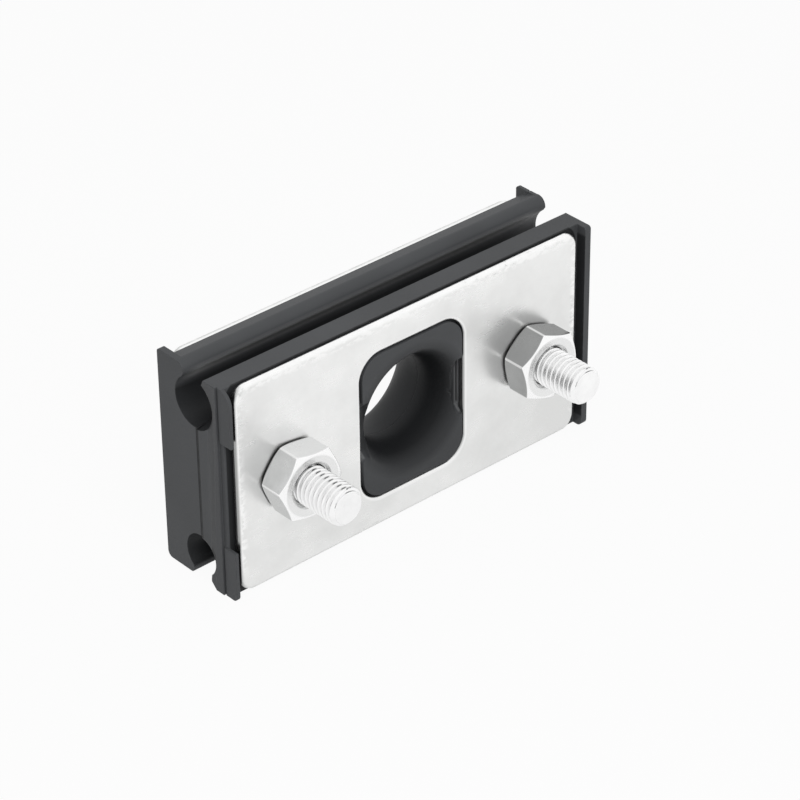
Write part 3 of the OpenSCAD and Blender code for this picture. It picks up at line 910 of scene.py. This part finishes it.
def bolt_surface(sizes, node):
    """Cup head, square neck and threaded shank as one surface round the bolt's axis.

    The head is a spherical cap on a short rim. The neck's radius at an angle is half its width
    over the 24th root of the sum of the 24th powers of sine and cosine, a square with tight round
    corners. On the thread the radius falls from the crest by the thread depth times a smooth step
    of the distance from the nearest crest, counted in pitches along the axis plus turns round it,
    and a cone chamfers the free end. The share of the thread's depth is kept for the material's
    painted shade in the thread, and the chamfer's edge and the rim of the end get a high share so
    that they are painted dark as well.
    """
    low, high = (np.array(v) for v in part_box(node))
    angle = around()
    head_r = (high[0] - low[0]) / 2
    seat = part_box("rear_plate")[1].y
    rim = seat + sizes.head_rim
    dome_h = high[1] - rim
    dome_r = (head_r ** 2 + dome_h ** 2) / (2 * dome_h)

    swing = np.linspace(DOME_START, 1.0, DOME_ROWS) * math.asin(head_r / dome_r) * DOME_SHARE
    dome = np.stack([dome_r * np.sin(swing), high[1] - dome_r + dome_r * np.cos(swing)], axis=-1)
    edge = round_corner(HEAD_SOFT, HEAD_EDGE_TURN, 0.0, (head_r - HEAD_SOFT, rim - HEAD_SOFT))
    under = round_corner(HEAD_SOFT, 0.0, -math.pi / 2, (head_r - HEAD_SOFT, seat + HEAD_SOFT))
    round_head = np.concatenate([dome, edge, under])
    powers = np.abs(np.cos(angle)) ** SQUARE_POWER + np.abs(np.sin(angle)) ** SQUARE_POWER
    square = sizes.neck_width / 2 / powers ** (1 / SQUARE_POWER)
    neck_end = seat - sizes.neck_length
    thread_top = low[1] + sizes.thread_length
    shaft = np.concatenate([[neck_end],
                            np.linspace(neck_end - NECK_FALL, thread_top, SHANK_ROWS)[:-1],
                            np.arange(thread_top, low[1], -THREAD_STEP), [low[1]]])
    turns = (shaft[:, None] - low[1]) / sizes.pitch + angle[None, :] / (2 * math.pi)
    from_crest = 0.5 - np.abs(turns % 1 - 0.5)
    fall = np.clip((from_crest - CREST_END) / (ROOT_START - CREST_END), 0.0, 1.0)
    fade = np.clip((thread_top - shaft[:, None]) / sizes.run_out, 0.0, 1.0)
    sunk = fall * fall * (3 - 2 * fall) * fade
    threaded = SHANK_RADIUS - sizes.thread_depth * sunk
    end_r = SHANK_RADIUS - sizes.end_chamfer
    cone = (end_r + (shaft - low[1]))[:, None]
    radius = np.minimum(threaded, cone)
    depth_share = np.where(cone < threaded, 0.0, sunk)
    # Painted shade: the chamfer's edge and the end's rim take a high share of the thread's depth
    at_edge = np.abs(cone - threaded) < THREAD_STEP * CHAMFER_EDGE
    depth_share = np.where(at_edge, CHAMFER_DARK, depth_share)
    depth_share[-1] = 1.0

    full = np.ones(COLUMNS)
    radii = np.concatenate([round_head[:, :1] * full, [square], [square], radius,
                            [(end_r - THREAD_STEP) * full, end_r * 0.5 * full]])
    depths = np.concatenate([round_head[:, 1], [seat, neck_end], shaft, [low[1], low[1]]])
    rows = axis_rows(radii, depths[:, None], angle[None, :], bolt_axis(node))
    mesh = mesh_from_rows(node + "_threaded", rows)
    shares = np.zeros(rows.shape[:2])
    head_rows = len(round_head) + 2
    shares[head_rows:head_rows + len(shaft)] = depth_share
    layer = mesh.attributes.new("thread_depth", "FLOAT", "POINT")
    layer.data.foreach_set("value", np.append(shares.ravel(), [0.0, 0.0]).astype(np.float32))
    smooth_shading(mesh, THREAD_HARD_ANGLE)
    return mesh


def nut_surface(sizes, node):
    """A hexagon nut as one ring-shaped surface round its axis.

    The hexagon's radius at an angle is half the width across flats over the cosine of the angle
    from the nearest flat's middle. A 30 degree cone chamfers each face, so a chamfer meets the
    flats at the depth (hexagon radius less face radius) times the tangent of 30 degrees. The bore
    opens to each face in a 45 degree countersink.
    """
    points = mesh_points(frame["nodes"][node].data).astype(float)
    axis = bolt_axis(node.replace("nut", "bolt"))
    away = np.hypot(points[:, 0] - axis[0], points[:, 2] - axis[1])
    corner = points[away.argmax()]
    start = math.atan2(corner[2] - axis[1], corner[0] - axis[0])
    front, back = points[:, 1].min(), points[:, 1].max()
    face_r = away[np.abs(points[:, 1] - front) < SAME_DEPTH].max()
    half_flats = away.max() * math.cos(SIXTH / 2)

    angle = around()
    hexagon = half_flats / np.cos(angle % SIXTH - SIXTH / 2)
    drop = (hexagon - face_r) * math.tan(NUT_CONE)
    full = np.ones(COLUMNS)
    bore = away.min() + sizes.bore_gap
    sink = sizes.countersink
    half = [(bore, (front + back) / 2 - front), (bore, sink), (bore + sink, 0.0),
            ((bore + sink + face_r) / 2, 0.0), (face_r, 0.0)]
    radii = np.array([r * full for r, _ in half] + [hexagon])
    depths = np.array([d * full for _, d in half] + [drop])
    radii = np.concatenate([radii, radii[:0:-1]])
    depths = np.concatenate([front + depths, back - depths[:0:-1]])
    rows = axis_rows(radii, depths, angle[None, :] + start, axis)
    mesh = mesh_from_rows(node + "_hexagon", rows, "ring")
    smooth_shading(mesh, NUT_HARD_ANGLE)
    return mesh


class CLAMP_OT_jaws(bpy.types.Operator):
    """Makes both moulded jaws"""

    bl_idname = "clamp.make_jaws"
    bl_label = "Moulded jaws"

    def execute(self, context):
        scene = context.scene
        plastic = moulded_plastic(scene.clamp_finishes, scene.clamp_sizes)
        for node, body in (("front_jaw", "front_half"), ("rear_jaw", "rear_half")):
            mesh = merged_copy(node, node + "_moulded")
            put_in_scene(node + "_moulded", mesh, plastic, body, node)
        return {"FINISHED"}


class CLAMP_OT_plates(bpy.types.Operator):
    """Makes both zinc plates"""

    bl_idname = "clamp.make_plates"
    bl_label = "Zinc plates"

    def execute(self, context):
        scene = context.scene
        zinc = plate_zinc(scene.clamp_finishes, scene.clamp_sizes)
        for node, body in (("front_plate", "front_half"), ("rear_plate", "rear_half")):
            mesh = merged_copy(node, node + "_zinc")
            piece = put_in_scene(node + "_zinc", mesh, zinc, body, node)
            soften_edges(piece, scene.clamp_sizes.plate_edge)
        return {"FINISHED"}


class CLAMP_OT_bolts(bpy.types.Operator):
    """Makes both bolts with their threads, necks and cup heads"""

    bl_idname = "clamp.make_bolts"
    bl_label = "Threaded bolts"

    def execute(self, context):
        scene = context.scene
        zinc = bolt_zinc(scene.clamp_finishes)
        for side in SIDES:
            node = side + "_bolt"
            mesh = bolt_surface(scene.clamp_sizes, node)
            put_in_scene(node + "_threaded", mesh, zinc, "rear_half", node)
        return {"FINISHED"}


class CLAMP_OT_nuts(bpy.types.Operator):
    """Makes both hexagon nuts"""

    bl_idname = "clamp.make_nuts"
    bl_label = "Hexagon nuts"

    def execute(self, context):
        scene = context.scene
        zinc = nut_zinc(scene.clamp_finishes, scene.clamp_sizes)
        for side in SIDES:
            node = side + "_nut"
            mesh = nut_surface(scene.clamp_sizes, node)
            piece = put_in_scene(node + "_hexagon", mesh, zinc, node, node)
            soften_edges(piece, scene.clamp_sizes.nut_edge, NUT_EDGE_ROWS, NUT_HARD_ANGLE)
        return {"FINISHED"}


def flat_sheet(name, centre, across, up):
    """A flat four-sided sheet: its centre plus or minus the vectors across and up."""
    corners = np.array([[-1, -1], [1, -1], [1, 1], [-1, 1]])
    points = np.array(centre) + corners[:, :1] * np.array(across) + corners[:, 1:] * np.array(up)
    mesh = bpy.data.meshes.new(name)
    mesh.from_pydata(points.tolist(), [], [[0, 1, 2, 3]])
    sheet = bpy.data.objects.new(name, mesh)
    bpy.context.scene.collection.objects.link(sheet)
    return sheet


def seen_directly(wire):
    """1 for a ray that comes from the camera, a mirror or glass, and 0 for light and shade."""
    path = wire.add("ShaderNodeLightPath").socket.node
    rays = [Wire(wire.tree, path.outputs[name])
            for name in ("Is Camera Ray", "Is Glossy Ray", "Is Transmission Ray")]
    return (rays[0] + rays[1] + rays[2]).clamped()


def camera_turn(stage):
    """The camera's turn: it looks along its azimuth and elevation and is rolled about that line."""
    az, el, roll = stage.azimuth, stage.elevation, stage.roll
    back = Vector((math.sin(az) * math.cos(el), -math.cos(az) * math.cos(el), math.sin(el)))
    right = (-back).cross(Vector((0, 0, 1))).normalized()
    down = (-back).cross(right)
    side = right * math.cos(roll) + down * math.sin(roll)
    over = right * math.sin(roll) - down * math.cos(roll)
    return Matrix((side, over, back)).transposed().to_4x4()


class CLAMP_OT_stage(bpy.types.Operator):
    """Makes the floor, the light and the camera"""

    bl_idname = "clamp.make_stage"
    bl_label = "Floor, light and camera"

    def execute(self, context):
        scene = context.scene
        stage = scene.clamp_stage
        scene.view_settings.view_transform = "Standard"
        self.floor(stage)
        self.world(scene, stage)
        self.lamp(scene, stage)
        self.camera(scene, stage)
        return {"FINISHED"}

    def floor(self, stage):
        """A pale floor that takes the shadow and goes towards plain white where it is seen."""
        floor = flat_sheet("floor", (0, 0, CAD_BOX[0][2]), (FLOOR_HALF, 0, 0), (0, FLOOR_HALF, 0))
        material, wire = new_material("pale_floor")
        matt = wire.add("ShaderNodeBsdfDiffuse", None, {"Color": rgba(stage.floor)})
        glow = wire.add("ShaderNodeEmission", None, {"Color": WHITE, "Strength": 1.0})
        mixed = wire.add("ShaderNodeMixShader", None,
                         {0: seen_directly(wire) * stage.white, 1: matt, 2: glow})
        finish_material(wire, mixed)
        floor.data.materials.append(material)

    def world(self, scene, stage):
        """Even light from all round, plain white where the camera or a mirror sees it."""
        world = bpy.data.worlds.new("studio")
        world.use_nodes = True
        world.node_tree.nodes.clear()
        wire = Wire(world.node_tree)
        level = seen_directly(wire) * (1.0 - stage.sky) + stage.sky
        sky = wire.add("ShaderNodeBackground", None, {"Color": WHITE, "Strength": level})
        wire.add("ShaderNodeOutputWorld", None, {"Surface": sky})
        scene.world = world

    def lamp(self, scene, stage):
        """One large soft lamp overhead, to the left in front."""
        data = bpy.data.lights.new("overhead", "AREA")
        data.shape = "SQUARE"
        data.size = LAMP_SIZE
        data.energy = stage.lamp
        lamp = bpy.data.objects.new("overhead", data)
        lamp.location = LAMP_PLACE
        lamp.rotation_euler = (-lamp.location).to_track_quat("-Z", "Y").to_euler()
        lamp.visible_glossy = False
        scene.collection.objects.link(lamp)

    def camera(self, scene, stage):
        data = bpy.data.cameras.new("camera")
        data.lens = stage.lens
        data.sensor_width = SENSOR_WIDTH
        data.clip_start = CLIP_START
        camera = bpy.data.objects.new("camera", data)
        camera.matrix_world = Matrix.Translation(stage.place) @ camera_turn(stage)
        scene.collection.objects.link(camera)
        scene.camera = camera


OPERATORS = (CLAMP_OT_jaws, CLAMP_OT_plates, CLAMP_OT_bolts, CLAMP_OT_nuts, CLAMP_OT_stage)


class CLAMP_PT_panel(bpy.types.Panel):
    """Lists the clamp's operators in the sidebar"""

    bl_idname = "CLAMP_PT_panel"
    bl_label = "Conductor clamp"
    bl_space_type = "VIEW_3D"
    bl_region_type = "UI"
    bl_category = "Clamp"

    def draw(self, context):
        for operator in OPERATORS:
            self.layout.operator(operator.bl_idname)
        for group in (context.scene.clamp_sizes, context.scene.clamp_finishes,
                      context.scene.clamp_stage):
            box = self.layout.box()
            for key in group.__annotations__:
                box.prop(group, key)


CLASSES = (ClampSizes, ClampFinishes, ClampStage, *OPERATORS, CLAMP_PT_panel)


def register():
    for cls in CLASSES:
        bpy.utils.register_class(cls)
    bpy.types.Scene.clamp_sizes = bpy.props.PointerProperty(type=ClampSizes)
    bpy.types.Scene.clamp_finishes = bpy.props.PointerProperty(type=ClampFinishes)
    bpy.types.Scene.clamp_stage = bpy.props.PointerProperty(type=ClampStage)


def unregister():
    del bpy.types.Scene.clamp_stage
    del bpy.types.Scene.clamp_finishes
    del bpy.types.Scene.clamp_sizes
    for cls in reversed(CLASSES):
        bpy.utils.unregister_class(cls)


def main():
    register()
    bpy.ops.clamp.make_stage()
    bpy.ops.clamp.make_jaws()
    bpy.ops.clamp.make_plates()
    bpy.ops.clamp.make_bolts()
    bpy.ops.clamp.make_nuts()
    bpy.context.view_layer.update()


if __name__ == "__main__":
    main()
